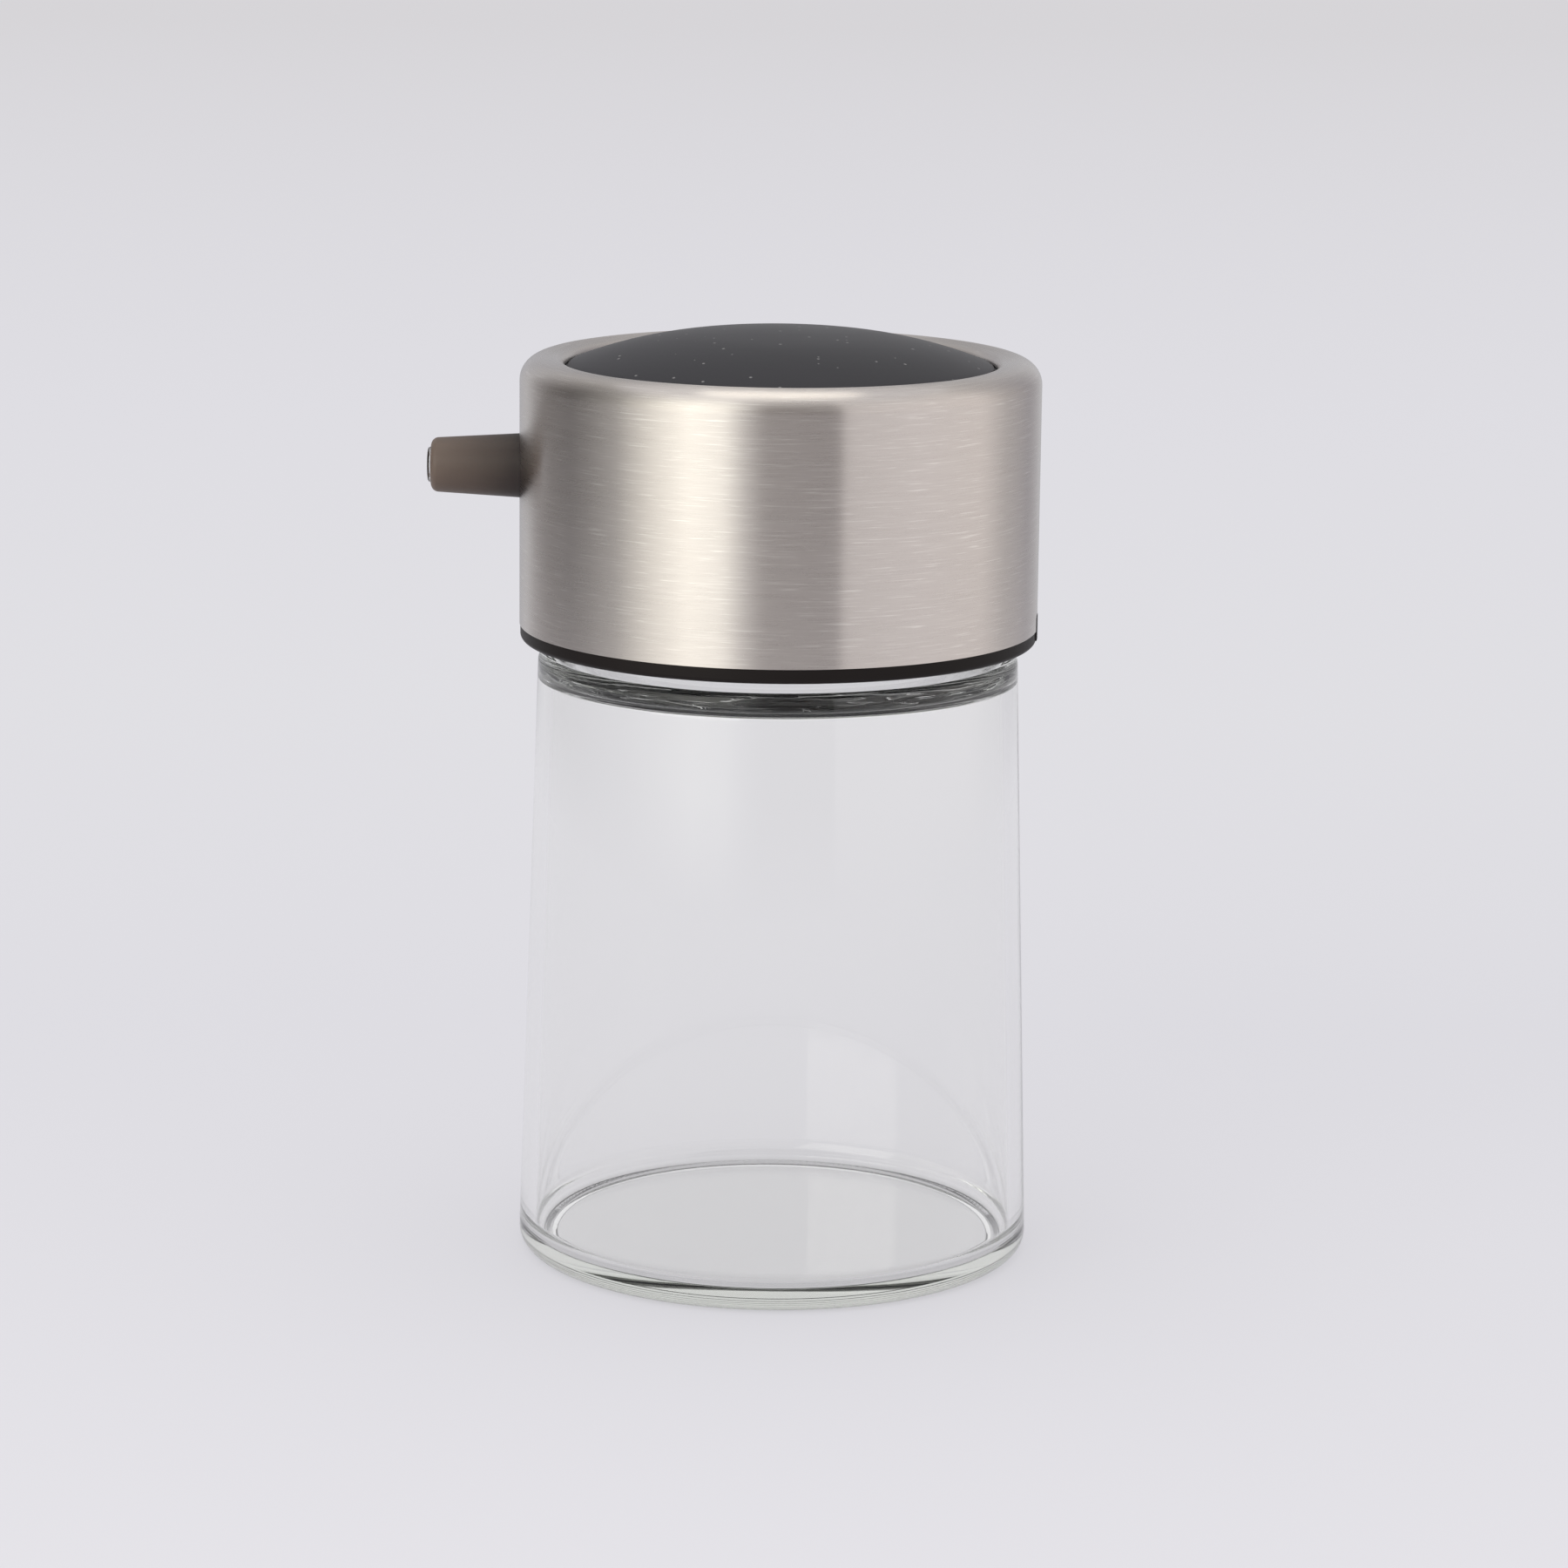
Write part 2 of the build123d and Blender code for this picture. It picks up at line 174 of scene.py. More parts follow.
def applied(piece, kind, **settings):
    """Add a modifier, set it and apply it."""
    picked(piece)
    modifier = piece.modifiers.new(kind.title(), kind)
    for name, value in settings.items():
        setattr(modifier, name, value)
    bpy.ops.object.modifier_apply(modifier=modifier.name)
    return piece


def cut_or_joined(piece, other, operation):
    """Cut another piece from this one, or join it on, and drop the other."""
    applied(piece, "BOOLEAN", operation=operation, object=other, solver="EXACT")
    bpy.data.objects.remove(other)
    return piece


def smoothed(piece):
    """Shade smooth up to the sharp edges, with the large faces kept true beside the roundings."""
    picked(piece)
    bpy.ops.object.shade_smooth_by_angle(angle=SHARP_ANGLE)
    return applied(piece, "WEIGHTED_NORMAL", keep_sharp=True)


def thread(name, root, inward, start, turns, turned_by=0.0):
    """The screw thread's ridge, a tapered band wound on the neck or in the collar."""
    way = -1 if inward else 1
    buried = (root - way * THREAD_BURIED) * MM
    crest = (root + way * THREAD_DEPTH) * MM
    wire = [
        Vector((buried, 0, (start - THREAD_ROOT) * MM)),
        Vector((crest, 0, (start - THREAD_CREST) * MM)),
        Vector((crest, 0, (start + THREAD_CREST) * MM)),
        Vector((buried, 0, (start + THREAD_ROOT) * MM)),
    ]
    ridge = drawn(name, wire, True)
    bpy.ops.mesh.edge_face_add()
    bpy.ops.object.mode_set(mode="OBJECT")
    steps = round(AROUND * turns / 2)
    applied(
        ridge,
        "SCREW",
        angle=math.tau * turns,
        screw_offset=THREAD_PITCH * turns * MM,
        steps=steps,
        render_steps=steps,
        use_merge_vertices=False,
    )
    bpy.ops.object.mode_set(mode="EDIT")
    bpy.ops.mesh.select_all(action="DESELECT")
    bpy.ops.mesh.select_non_manifold()
    bpy.ops.mesh.edge_face_add()
    finished(ridge)
    length = math.tau * turns
    for vertex in ridge.data.vertices:
        place = vertex.co
        height = place.z / MM - start
        along = math.atan2(place.y, place.x) % math.tau
        along += math.tau * round((height / THREAD_PITCH * math.tau - along) / math.tau)
        share = min(1.0, min(along, length - along) / THREAD_FADE)
        share = max(0.0, share)
        reach = buried + (place.xy.length - buried) * math.sin(share * math.pi / 2)
        place.xy = place.xy.normalized() * reach
    ridge.data.transform(Matrix.Rotation(math.radians(turned_by), 4, "Z"))
    return ridge


class Value:
    """A shader socket that takes part in sums, each of which adds its Math node."""

    def __init__(self, finish, socket):
        self.finish = finish
        self.socket = socket

    def sum(self, operation, *others):
        return self.finish.node("ShaderNodeMath", {"operation": operation}, *others)

    def __add__(self, other):
        return self.sum("ADD", self, other)

    def __sub__(self, other):
        return self.sum("SUBTRACT", self, other)

    def __rsub__(self, other):
        return self.sum("SUBTRACT", other, self)

    def __mul__(self, other):
        return self.sum("MULTIPLY", self, other)

    def __pow__(self, other):
        return self.sum("POWER", self, other)

    def __gt__(self, other):
        return self.sum("GREATER_THAN", self, other)

    __radd__ = __add__
    __rmul__ = __mul__


class Finish:
    """One material, built node by node."""

    def __init__(self, name):
        self.material = bpy.data.materials.new(name)
        self.material.use_nodes = True
        self.tree = self.material.node_tree
        self.tree.nodes.clear()

    def node(self, kind, settings, *values, out=0, **named):
        """Add a node: its settings first, then the values or links of its sockets."""
        made = self.tree.nodes.new(kind)
        for name, value in settings.items():
            if name == "stops":
                ramp = made.color_ramp
                while len(ramp.elements) < len(value):
                    ramp.elements.new(1.0)
                for element, (place, colour) in zip(ramp.elements, value):
                    element.position = place
                    element.color = (*colour, 1)
            else:
                setattr(made, name, value)
        wanted = list(enumerate(values))
        wanted += [(name.replace("_", " "), value) for name, value in named.items()]
        for socket, value in wanted:
            if isinstance(value, Value):
                self.tree.links.new(value.socket, made.inputs[socket])
            else:
                made.inputs[socket].default_value = value
        return Value(self, made.outputs[out])

    def place(self):
        """The surface point in the object's own metres, as three values."""
        point = self.node("ShaderNodeTexCoord", {}, out="Object")
        return [self.node("ShaderNodeSeparateXYZ", {}, point, out=axis) for axis in range(3)]

    def point(self, x, y, z):
        return self.node("ShaderNodeCombineXYZ", {}, x, y, z)

    def noise(self, point, scale, detail=2.0, roughness=0.5):
        return self.node(
            "ShaderNodeTexNoise", {}, Vector=point, Scale=scale, Detail=detail, Roughness=roughness
        )

    def ranged(self, value, start, end, first, last):
        """A value's stretch from start to end, mapped from first to last and held beyond."""
        return self.node("ShaderNodeMapRange", {}, value, start, end, first, last)

    def mixed(self, share, first, second):
        """A colour between two colours."""
        settings = {"data_type": "RGBA"}
        made = self.node("ShaderNodeMix", settings, out=2)
        mix = made.socket.node
        for socket, value in ((0, share), (6, first), (7, second)):
            if isinstance(value, Value):
                self.tree.links.new(value.socket, mix.inputs[socket])
            else:
                mix.inputs[socket].default_value = value if socket == 0 else (*value, 1)
        return made

    def bump(self, height, distance, strength):
        return self.node(
            "ShaderNodeBump", {}, Height=height, Distance=distance, Strength=strength
        )

    def glow(self, colour, strength=1.0):
        return self.node("ShaderNodeEmission", {}, Color=colour, Strength=strength)

    def surface(self, shader, volume=None):
        """Send the shader to the output and hand over the material."""
        output = self.tree.nodes.new("ShaderNodeOutputMaterial")
        self.tree.links.new(shader.socket, output.inputs["Surface"])
        if volume is not None:
            self.tree.links.new(volume.socket, output.inputs["Volume"])
        return self.material

    def coated(self, **named):
        return self.node("ShaderNodeBsdfPrincipled", {}, **named)

    def lit_through(self, shader):
        """Clear stuff lets lamp light pass, so that what lies behind it isn't in the dark."""
        ray = self.node("ShaderNodeLightPath", {}, out="Is Shadow Ray")
        open_way = self.node("ShaderNodeBsdfTransparent", {}, Color=LIGHT_PASSED)
        return self.node("ShaderNodeMixShader", {}, ray, shader, open_way)


def clothed(piece, material):
    piece.data.materials.clear()
    piece.data.materials.append(material)
    return piece


def jar_glass():
    """Clear glass with a slow ripple, and the chill waves of pressing round its shoulder."""
    finish = Finish("jar_glass")
    x, y, z = finish.place()
    ripple = finish.noise(finish.point(x, y, z * 0.4), 55.0, 1.0)
    chill = finish.noise(finish.point(x, y, z * 6.0), 45.0, 2.0)
    shoulder = finish.ranged(z, *CHILL_RISES)
    fading = finish.ranged(z, *CHILL_FADES)
    glass = finish.coated(
        Base_Color=GLASS_COLOUR,
        Roughness=0.0,
        IOR=GLASS_IOR,
        Transmission_Weight=1.0,
        Normal=finish.bump(ripple + chill * shoulder * fading, GLASS_WAVE, 0.5),
    )
    tint = finish.node(
        "ShaderNodeVolumeAbsorption", {}, Color=GLASS_TINT, Density=GLASS_TINT_DENSITY
    )
    return finish.surface(finish.lit_through(glass), tint)


jar = turned("jar", JAR_OUTLINE)
neck_thread = thread("neck_thread", NECK_RADIUS, False, NECK_THREAD_START, NECK_THREAD_TURNS)
cut_or_joined(jar, neck_thread, "UNION")
smoothed(jar)
clothed(jar, jar_glass())
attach(jar, "jar")
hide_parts("glass_jar")


# The black collar: one moulding of black plastic that screws onto the neck. Its flange ring shows
# as the thin dark band under the steel, with a tab at the back that keys the steel shell.

COLLAR_BORE = 27.25
RING_BOTTOM = 75.05
RING_TOP = 76.8
COLLAR_TOP = 100.69
COLLAR_OUTLINE = (
    (COLLAR_BORE, RING_BOTTOM, 0.3),
    (30.9, RING_BOTTOM, 0.55),
    (30.9, RING_TOP, 0.0),
    (28.85, RING_TOP, 0.3),
    (28.85, 82.5, 0.3),
    (30.2, 84.0, 0.0),
    (30.2, COLLAR_TOP, 0.3),
    (28.7, COLLAR_TOP, 0.3),
    (28.7, 85.5, 0.0),
    (COLLAR_BORE, 85.5, 0.3),
)
COLLAR_THREAD_START = 77.25
COLLAR_THREAD_TURNS = 1.0
THREAD_SIDE_GAP = 0.35
TAB_OUTLINE = ((29.9, 75.6, 0.0), (31.05, 75.6, 0.0), (31.05, 78.6, 0.3), (29.9, 78.6, 0.0))
TAB_BLOCK_PLACE = (30 * MM, 0, 77 * MM)
TAB_BLOCK_SIZE = (10, 8, 10)


def black_plastic():
    finish = Finish("black_plastic")
    x, y, z = finish.place()
    grain = finish.noise(finish.point(x, y, z), 2600.0, 3.0)
    shade = finish.noise(finish.point(x, y, z), 90.0, 2.0)
    plastic = finish.coated(
        Base_Color=finish.mixed(shade, (0.0095, 0.0072, 0.0065), (0.0138, 0.011, 0.01)),
        Roughness=0.36 + grain * 0.12,
        Specular_IOR_Level=0.11,
        Normal=finish.bump(grain, 0.00001, 0.35),
    )
    return finish.surface(plastic)


BLACK = black_plastic()
collar = turned("collar", COLLAR_OUTLINE, closed=True)
tab = turned("tab", TAB_OUTLINE, closed=True)
bpy.ops.object.select_all(action="DESELECT")
bpy.ops.mesh.primitive_cube_add(size=MM, location=TAB_BLOCK_PLACE, scale=TAB_BLOCK_SIZE)
cut_or_joined(tab, bpy.context.object, "INTERSECT")
cut_or_joined(collar, tab, "UNION")
below = THREAD_ROOT + THREAD_CREST + THREAD_SIDE_GAP
meshed = 360 * (COLLAR_THREAD_START - NECK_THREAD_START + below) / THREAD_PITCH
collar_thread = thread(
    "collar_thread", COLLAR_BORE, True, COLLAR_THREAD_START, COLLAR_THREAD_TURNS, meshed
)
cut_or_joined(collar, collar_thread, "UNION")
smoothed(collar)
clothed(collar, BLACK)
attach(collar, "cap")
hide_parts("cap_base")


# The steel cover: a shell drawn from thin stainless sheet and brushed round and round. It is
# pressed over the collar, with a dished rim round the button and a round hole for the spout.

COVER_RADIUS = 31.0
COVER_BOTTOM = 76.8
COVER_TOP = 108.75
COVER_ROUND = 2.8
COVER_DISH = math.radians(11)
COVER_HOLE = 25.7
COVER_LIP = 1.0
COVER_SHEET = 0.5
COVER_ROUND_STEPS = 12
COVER_LIP_STEPS = 8
SPOUT_HEIGHT = 95.45
SPOUT_HOLE = 3.94
SPOUT_HOLE_DEPTH = 8
SPOUT_AROUND = 96
TAB_NOTCH_SIZE = (0.01, 0.0082, 0.0038)


def cover_line(inset):
    """Outline points of the shell's outside, or of its inside at a sheet's thickness."""
    points = [Vector((COVER_RADIUS - inset, COVER_BOTTOM))]
    middle = Vector((COVER_RADIUS - COVER_ROUND, COVER_TOP - COVER_ROUND))
    last = math.pi / 2 + COVER_DISH
    for step in range(COVER_ROUND_STEPS + 1):
        angle = last * step / COVER_ROUND_STEPS
        arm = Vector((math.cos(angle), math.sin(angle)))
        points.append(middle + arm * (COVER_ROUND - inset))
    run = middle.x + COVER_ROUND * math.cos(last) - COVER_HOLE
    run -= COVER_LIP * (1 - math.sin(COVER_DISH))
    start = middle + COVER_ROUND * Vector((math.cos(last), math.sin(last)))
    end = start - Vector((run, run * math.tan(COVER_DISH)))
    middle = end - COVER_LIP * Vector((-math.sin(COVER_DISH), math.cos(COVER_DISH)))
    for step in range(COVER_LIP_STEPS + 1):
        angle = last + (math.pi - last) * step / COVER_LIP_STEPS
        arm = Vector((math.cos(angle), math.sin(angle)))
        points.append(middle + arm * (COVER_LIP - inset))
    return [(point.x, point.y, 0.0) for point in points]


def brushed_steel():
    """Stainless steel whose brush lines run round the wall and round the dished rim."""
    finish = Finish("brushed_steel")
    x, y, z = finish.place()
    across = z - (x * x + y * y) ** 0.5
    fine = finish.noise(finish.point(x * 210, y * 210, across * 7200), 1.0, 2.0, 0.6)
    broad = finish.noise(finish.point(x * 70, y * 70, across * 1100), 1.0, 2.0, 0.6)
    streak = fine * 0.65 + broad * 0.35
    glint = finish.ranged(fine, 0.6, 0.76, 0.0, 1.0)
    brushed = finish.mixed(streak, (0.53, 0.49, 0.462), (0.71, 0.667, 0.629))
    steel = finish.coated(
        Base_Color=finish.mixed(glint, brushed, (0.80, 0.77, 0.725)),
        Metallic=1.0,
        Roughness=0.24 + streak * 0.08,
        Anisotropic=0.95,
        Anisotropic_Rotation=0.25,
        Normal=finish.bump(streak, 0.00001, 0.6),
    )
    return finish.surface(steel)


cover = turned("cover", cover_line(0.0) + cover_line(COVER_SHEET)[::-1], closed=True)
bpy.ops.object.select_all(action="DESELECT")
bpy.ops.mesh.primitive_cylinder_add(
    vertices=SPOUT_AROUND,
    radius=SPOUT_HOLE * MM,
    depth=SPOUT_HOLE_DEPTH * MM,
    location=(-COVER_RADIUS * MM, 0, SPOUT_HEIGHT * MM),
    rotation=(0, math.pi / 2, 0),
)
cut_or_joined(cover, bpy.context.object, "DIFFERENCE")
bpy.ops.object.select_all(action="DESELECT")
bpy.ops.mesh.primitive_cube_add(
    size=1, location=(COVER_RADIUS * MM, 0, COVER_BOTTOM * MM), scale=TAB_NOTCH_SIZE
)
cut_or_joined(cover, bpy.context.object, "DIFFERENCE")
smoothed(cover)
clothed(cover, brushed_steel())
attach(cover, "cap")
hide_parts("steel_cover")


# The push button: a crowned cap of dark matte rubber that fills the cover's top. It rides on the
# pump's dome, with a flange under the cover's lip that stops it from coming out.

BUTTON_CROWN = 112.01
CROWN_RADIUS = 110.0
CROWN_FLAT = 10.0
EDGE_RADIUS = 55.0
BUTTON_RADIUS = 25.3
CROWN_STEPS = 6
EDGE_STEPS = 14
EDGE_INSET = 0.36
EDGE_DROP = 0.28
EDGE_ROUND = 0.25
FLANGE_RADIUS = 26.85
FLANGE_TOP = 107.34
FLANGE_BOTTOM = 106.24
BUTTON_UNDERSIDE = (
    (BUTTON_RADIUS, FLANGE_TOP, 0.0),
    (FLANGE_RADIUS, FLANGE_TOP, 0.0),
    (FLANGE_RADIUS, FLANGE_BOTTOM, 0.0),
    (23.6, FLANGE_BOTTOM, 0.0),
    (23.6, 107.0, 1.0),
    (12.0, 109.6, 6.0),
    (6.5, 109.9, 0.5),
    (6.5, 104.6, 0.2),
    (4.7, 104.6, 0.2),
    (4.7, 110.2, 0.3),
    (0.0, 110.2, 0.0),
)
DUST_SCALE = 900.0
DUST_REACH = 0.17
DUST_CHANCE = 0.86
DUST_SHARE = 0.5
DUST_COLOUR = (0.42, 0.41, 0.40)


def button_outline():
    """The crown's two arcs, the rim, the flange and the hollow underside."""
    points = []
    first = math.asin(CROWN_FLAT / CROWN_RADIUS)
    for step in range(CROWN_STEPS + 1):
        angle = first * step / CROWN_STEPS
        points.append((CROWN_RADIUS * math.sin(angle), -CROWN_RADIUS * (1 - math.cos(angle))))
    drop = CROWN_RADIUS * (1 - math.cos(first))
    edge = BUTTON_RADIUS - EDGE_INSET
    last = math.asin(math.sin(first) + (edge - CROWN_FLAT) / EDGE_RADIUS)
    for step in range(1, EDGE_STEPS + 1):
        angle = first + (last - first) * step / EDGE_STEPS
        across = CROWN_FLAT + EDGE_RADIUS * (math.sin(angle) - math.sin(first))
        points.append((across, -drop - EDGE_RADIUS * (math.cos(first) - math.cos(angle))))
    top = [(across, BUTTON_CROWN + fall, 0.0) for across, fall in points]
    top.append((BUTTON_RADIUS, top[-1][1] - EDGE_DROP, EDGE_ROUND))
    return top + list(BUTTON_UNDERSIDE)


def button_rubber():
    """Soft matte rubber with a few grains of pale dust."""
    finish = Finish("button_rubber")
    x, y, z = finish.place()
    point = finish.point(x, y, z)
    grain = finish.noise(point, 5200.0, 2.0)
    cloud = finish.noise(point, 70.0, 3.0)
    cell = {"feature": "F1"}
    reach, chance = [
        finish.node("ShaderNodeTexVoronoi", cell, Vector=point, Scale=DUST_SCALE, out=out)
        for out in ("Distance", "Color")
    ]
    luck = finish.node("ShaderNodeSeparateColor", {}, chance, out=0)
    dust = (luck > DUST_CHANCE) * (1 - (reach > DUST_REACH)) * luck * DUST_SHARE
    bare = finish.mixed(cloud, (0.012, 0.0112, 0.0155), (0.017, 0.0162, 0.0205))
    rubber = finish.coated(
        Base_Color=finish.mixed(dust, bare, DUST_COLOUR),
        Roughness=0.44 + cloud * 0.08,
        Specular_IOR_Level=0.28,
        Sheen_Weight=0.08,
        Sheen_Roughness=0.27,
        Normal=finish.bump(grain, 0.000015, 0.5),
    )
    return finish.surface(rubber)


button = smoothed(turned("button", button_outline()))
clothed(button, button_rubber())
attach(button, "button")
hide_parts("push_button")


# The spout: a clear rigid tube that carries the sauce, in a tapered sleeve of smoky rubber. The
# sleeve's flange sits inside the cover, and the tube stands just proud of its tip.

SLEEVE_OUTLINE = (
    (28.4, 2.15, 0.0),
    (41.55, 2.15, 0.3),
    (41.55, 3.2, 0.9),
    (31.0, 3.82, 0.0),
    (29.6, 3.82, 0.0),
    (29.6, 4.9, 0.3),
    (28.4, 4.9, 0.3),
)
# The stretch of the spout over which the sleeve's colour darkens with painted shade toward the
# steel.
SLEEVE_TIP = -0.0415
SLEEVE_ROOT = -0.031
TUBE_OUTLINE = (
    (21.75, 1.1, 0.0),
    (41.95, 1.1, 0.3),
    (41.95, 2.1, 0.3),
    (21.75, 2.1, 0.3),
)
TUBE_AROUND = 64


def smoky_rubber():
    """Translucent rubber, brown at the thin tip, with painted shade darkening it to nearly black
    at the root.
    """
    finish = Finish("smoky_rubber")
    x, y, z = finish.place()
    point = finish.point(x, y, z)
    grain = finish.noise(point, 3000.0, 2.0)
    cloud = finish.noise(point, 160.0, 2.0)
    # Painted shade: the colour darkens from the tip toward the root, where the steel cover shades
    # the sleeve.
    root = finish.ranged(x, SLEEVE_TIP, SLEEVE_ROOT, 0.0, 1.0)
    share = root + cloud * 0.2 - 0.1
    rubber = finish.coated(
        Base_Color=finish.mixed(share, (0.134, 0.098, 0.076), (0.020, 0.013, 0.011)),
        Roughness=0.42 + grain * 0.12,
        Specular_IOR_Level=0.35,
        Subsurface_Weight=0.25,
        Subsurface_Radius=(0.6, 0.45, 0.35),
        Subsurface_Scale=0.002,
        Normal=finish.bump(grain, 0.00001, 0.4),
    )
    return finish.surface(rubber)


def clear_plastic():
    finish = Finish("clear_plastic")
    x, y, z = finish.place()
    wave = finish.noise(finish.point(x * 0.3, y, z), 300.0, 1.0)
    plastic = finish.coated(
        Base_Color=(0.96, 0.965, 0.97, 1),
        Roughness=0.05,
        IOR=1.49,
        Transmission_Weight=1.0,
        Normal=finish.bump(wave, 0.00002, 0.3),
    )
    return finish.surface(finish.lit_through(plastic))


sleeve = smoothed(turned("spout_sleeve", SLEEVE_OUTLINE, True, SPOUT_HEIGHT, SPOUT_AROUND))
clothed(sleeve, smoky_rubber())
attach(sleeve, "cap")
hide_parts("nozzle")

pipe = smoothed(turned("spout_pipe", TUBE_OUTLINE, True, SPOUT_HEIGHT, TUBE_AROUND))
clothed(pipe, clear_plastic())
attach(pipe, "cap")
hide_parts("spout_tube")


# The parts inside the cap stay as they were cut: the natural plastic pump body, the grey silicone
# dome that flattens under the button, the black clamp ring and the clear neck gasket.

BODY_COLOURS = ((0.62, 0.62, 0.58), (0.70, 0.70, 0.67))
DOME_COLOURS = ((0.16, 0.16, 0.165), (0.2, 0.2, 0.21))
GASKET_COLOURS = ((0.66, 0.67, 0.67), (0.74, 0.75, 0.75))


def inside_stuff(name, colours, rough, **more):
    """Plain moulded plastic or silicone, a little uneven in colour and gloss."""
    finish = Finish(name)
    x, y, z = finish.place()
    point = finish.point(x, y, z)
    cloud = finish.noise(point, 120.0, 2.0)
    grain = finish.noise(point, 2400.0, 2.0)
    stuff = finish.coated(
        Base_Color=finish.mixed(cloud, *colours),
        Roughness=rough + grain * 0.1,
        Normal=finish.bump(grain, 0.00001, 0.4),
        **more,
    )
    return finish.surface(stuff)


body_plastic = inside_stuff("natural_plastic", BODY_COLOURS, 0.4, Subsurface_Weight=0.1)
dome_silicone = inside_stuff("grey_silicone", DOME_COLOURS, 0.5)
gasket_silicone = inside_stuff("clear_silicone", GASKET_COLOURS, 0.4, Transmission_Weight=0.4)
clothed(nodes["pump_body"], body_plastic)
clothed(nodes["pump_diaphragm"], dome_silicone)
clothed(nodes["clamp_ring"], BLACK)
clothed(nodes["neck_gasket"], gasket_silicone)
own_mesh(nodes["pump_diaphragm"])


# The table: a pale seamless paper sweep, a little lighter near the camera. Its colour carries
# painted
# light: darker toward the back as painted falloff of the lamp light, with a faint band of painted
# shade behind the jar. The camera, the glass and the steel see its own colour, and it still takes
# the jar's shadow.

SWEEP_SIZE = 8
# Paper colour by distance from the camera, with painted falloff toward the back and a faint band
# of painted shade behind the jar.
PAPER_AND_PAINTED_SHADE = (
    (0.0, (0.80, 0.79, 0.82)),
    (0.02, (0.785, 0.775, 0.81)),
    (0.10, (0.745, 0.738, 0.775)),
    (0.19, (0.762, 0.757, 0.785)),
    (0.35, (0.757, 0.75, 0.785)),
    (1.0, (0.706, 0.694, 0.712)),
)
PAPER_NEAR = -0.15
PAPER_FAR = 2.4
ROOM_LIGHT = (0.86, 0.855, 0.88, 1)
STRAIGHT_SHARES = (("Is Camera Ray", 0.7), ("Is Glossy Ray", 0.6), ("Is Transmission Ray", 0.05))


def sweep_paper():
    finish = Finish("sweep_paper")
    x, y, z = finish.place()
    back = finish.ranged(y, PAPER_NEAR, PAPER_FAR, 0.0, 1.0)
    mottle = finish.noise(finish.point(x, y, z), 6.0, 3.0)
    # The paper's colour by distance carries the painted falloff and the painted shade behind the
    # jar.
    shade = finish.node("ShaderNodeValToRGB", {"stops": PAPER_AND_PAINTED_SHADE}, back + mottle * 0.02 - 0.01)
    paper = finish.coated(Base_Color=shade, Roughness=0.8, Specular_IOR_Level=0.0)
    seen = [
        finish.node("ShaderNodeLightPath", {}, out=ray) * share for ray, share in STRAIGHT_SHARES
    ]
    straight = seen[0] + seen[1] + seen[2]
    return finish.surface(
        finish.node("ShaderNodeMixShader", {}, straight, paper, finish.glow(shade))
    )


bpy.ops.object.select_all(action="DESELECT")
bpy.ops.mesh.primitive_plane_add(size=SWEEP_SIZE)
sweep = bpy.context.object
sweep.name = "sweep"
clothed(sweep, sweep_paper())

world = bpy.data.worlds.new("studio")
bpy.context.scene.world = world
world.use_nodes = True
tree = world.node_tree
room = tree.nodes["Background"]
room.inputs["Color"].default_value = ROOM_LIGHT
behind = tree.nodes.new("ShaderNodeBackground")
# Beyond the sweep the camera sees the far paper colour, painted falloff included.
behind.inputs["Color"].default_value = (*PAPER_AND_PAINTED_SHADE[-1][1], 1)
chosen = tree.nodes.new("ShaderNodeMixShader")
looked = tree.nodes.new("ShaderNodeLightPath")
for start, end in (
    (looked.outputs["Is Camera Ray"], chosen.inputs[0]),
    (room.outputs[0], chosen.inputs[1]),
    (behind.outputs[0], chosen.inputs[2]),
    (chosen.outputs[0], tree.nodes["World Output"].inputs["Surface"]),
):
    tree.links.new(start, end)


# What the steel, the glass and the rubber mirror: a ring screen of soft upright bands round the
# set, and a small round card overhead. Only glossy rays meet them, so they light nothing.

SCREEN_AWAY = 0.3
SCREEN_HIGH = 0.45
SCREEN_BANDS = (
    (-180, (0.48, 0.48, 0.50)),
    (-162, (0.50, 0.50, 0.53)),
    (-142, (0.62, 0.62, 0.64)),
    (-128, (0.38, 0.37, 0.38)),
    (-116, (0.22, 0.21, 0.21)),
    (-100, (0.13, 0.125, 0.125)),
    (-88, (0.22, 0.215, 0.21)),
    (-73, (0.45, 0.445, 0.43)),
    (-56, (1.12, 1.11, 1.03)),
    (-38, (1.9, 1.89, 1.75)),
    (-24, (1.64, 1.64, 1.54)),
    (-14, (0.68, 0.67, 0.66)),
    (-6, (0.31, 0.29, 0.285)),
    (25.3, (0.28, 0.26, 0.26)),
    (26.3, (0.84, 0.81, 0.81)),
    (60, (0.98, 0.94, 0.94)),
    (95, (1.0, 0.95, 0.93)),
    (112, (0.62, 0.60, 0.60)),
    (135, (0.43, 0.42, 0.45)),
    (160, (0.60, 0.60, 0.62)),
    (180, (0.48, 0.48, 0.50)),
)
SCREEN_AROUND = 96
SCREEN_UPPER = (0.75, 0.74, 0.73)
UPPER_FADE = (0.2, 0.42, 0.0, 0.6)
SCREEN_FOOT = (0.74, 0.73, 0.77)
FOOT_FADE = (0.0, 0.02, 1.0, 0.0)
TOP_CARD_RADIUS = 0.12
TOP_CARD_COLOUR = (1.0, 0.98, 0.93, 1)
TOP_CARD_STRENGTH = 2.0
BLIND_RAYS = ("camera", "diffuse", "transmission", "volume_scatter", "shadow")


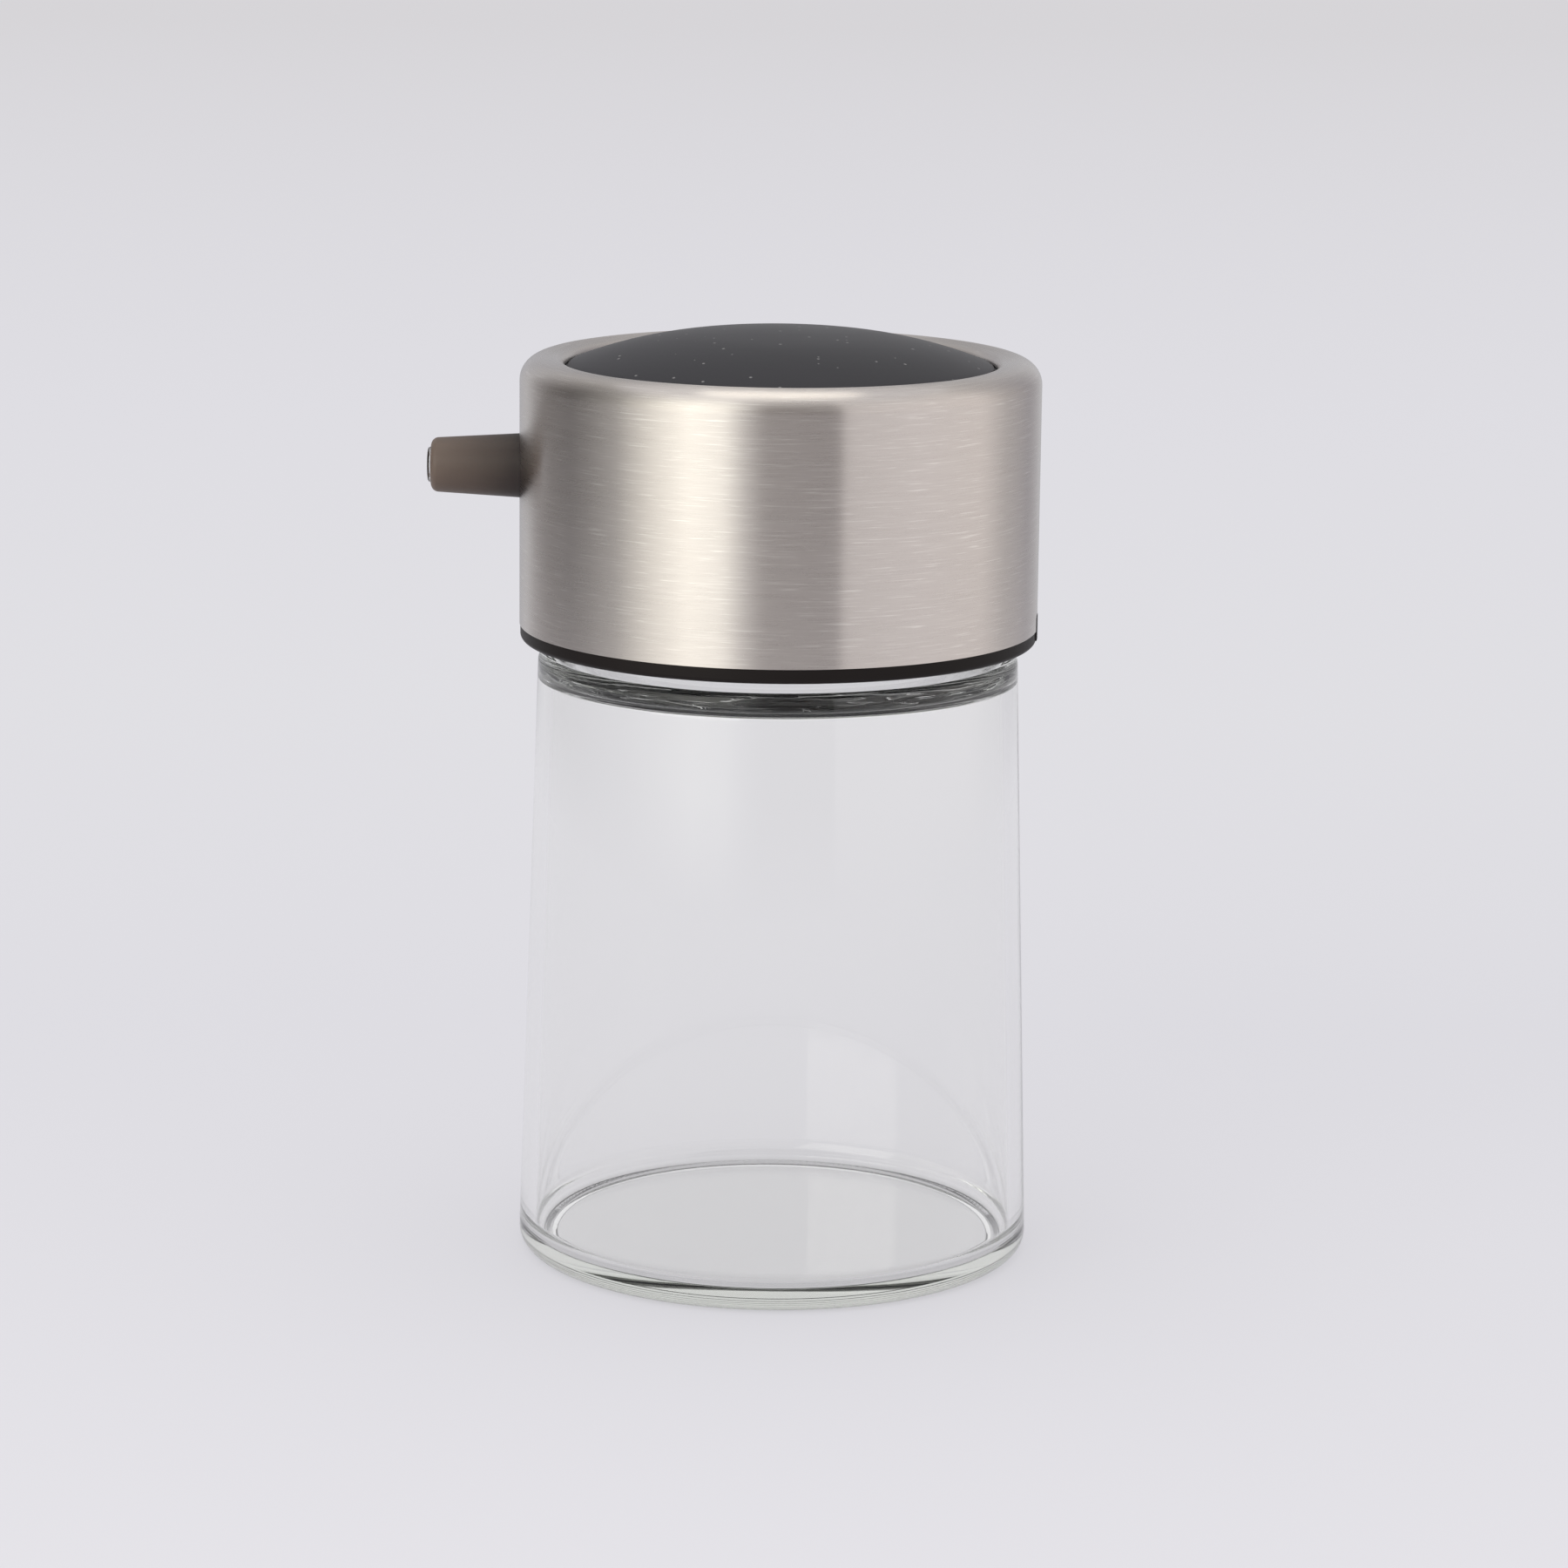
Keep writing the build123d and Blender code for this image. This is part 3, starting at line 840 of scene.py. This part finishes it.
def screen_paint():
    """The bands by bearing, paler toward the upper edge and at the foot."""
    finish = Finish("light_screen")
    x, y, z = finish.place()
    bearing = x.sum("ARCTAN2", x, y * -1.0)
    share = finish.ranged(bearing, -math.pi, math.pi, 0.0, 1.0)
    stops = [(angle / 360 + 0.5, colour) for angle, colour in SCREEN_BANDS]
    band = finish.node("ShaderNodeValToRGB", {"stops": stops}, share)
    band = finish.mixed(finish.ranged(z, *UPPER_FADE), band, SCREEN_UPPER)
    band = finish.mixed(finish.ranged(z, *FOOT_FADE), band, SCREEN_FOOT)
    return finish.surface(finish.glow(band))


def top_card_paint():
    finish = Finish("light_top")
    return finish.surface(finish.glow(TOP_CARD_COLOUR, TOP_CARD_STRENGTH))


bpy.ops.object.select_all(action="DESELECT")
bpy.ops.mesh.primitive_cylinder_add(
    vertices=SCREEN_AROUND,
    radius=SCREEN_AWAY,
    depth=SCREEN_HIGH,
    end_fill_type="NOTHING",
    location=(0, 0, SCREEN_HIGH / 2),
)
screen = bpy.context.object
bpy.ops.object.select_all(action="DESELECT")
bpy.ops.mesh.primitive_circle_add(
    radius=TOP_CARD_RADIUS, fill_type="NGON", location=(0, 0, SCREEN_HIGH)
)
top_card = bpy.context.object
for card, paint in ((screen, screen_paint()), (top_card, top_card_paint())):
    picked(card)
    bpy.ops.object.transform_apply(location=True)
    for ray in BLIND_RAYS:
        setattr(card, "visible_" + ray, False)
    card.name = paint.name
    clothed(card, paint)


# A large soft lamp at the left front, and the camera, which looks down a little. Clear glass needs
# many bounces, and lamp light already passes it on shadow rays, so its caustics are off.

LAMP_PLACE = (-0.8, -0.9, 0.6)
LAMP_SIZE = (1.15, 1.0)
LAMP_WATTS = 6.0
LAMP_COLOUR = (1.0, 0.985, 0.94)
LAMP_AIM = Vector((0, 0, 0.09))
CAMERA_LENS = 117.69
CAMERA_SENSOR = 36.0
CAMERA_PLACE = (0.000892, -0.605447, 0.184565)
CAMERA_DOWN = 11.898
CAMERA_ROLL = 0.636
GLASS_BOUNCES = 24

bpy.ops.object.select_all(action="DESELECT")
bpy.ops.object.light_add(type="AREA", location=LAMP_PLACE)
lamp = bpy.context.object
lamp.name = "soft_lamp"
lamp.data.shape = "RECTANGLE"
lamp.data.size, lamp.data.size_y = LAMP_SIZE
lamp.data.energy = LAMP_WATTS
lamp.data.color = LAMP_COLOUR
lamp.rotation_euler = (LAMP_AIM - lamp.location).to_track_quat("-Z", "Y").to_euler()

camera_data = bpy.data.cameras.new("camera")
camera = bpy.data.objects.new("camera", camera_data)
bpy.context.scene.collection.objects.link(camera)
camera_data.lens = CAMERA_LENS
camera_data.sensor_width = CAMERA_SENSOR
camera.matrix_world = (
    Matrix.Translation(CAMERA_PLACE)
    @ Matrix.Rotation(math.radians(90 - CAMERA_DOWN), 4, "X")
    @ Matrix.Rotation(math.radians(CAMERA_ROLL), 4, "Z")
)
bpy.context.scene.camera = camera
bpy.context.scene.view_settings.view_transform = "Standard"
for limit in ("max_bounces", "glossy_bounces", "transmission_bounces"):
    setattr(bpy.context.scene.cycles, limit, GLASS_BOUNCES)
bpy.context.scene.cycles.caustics_refractive = False
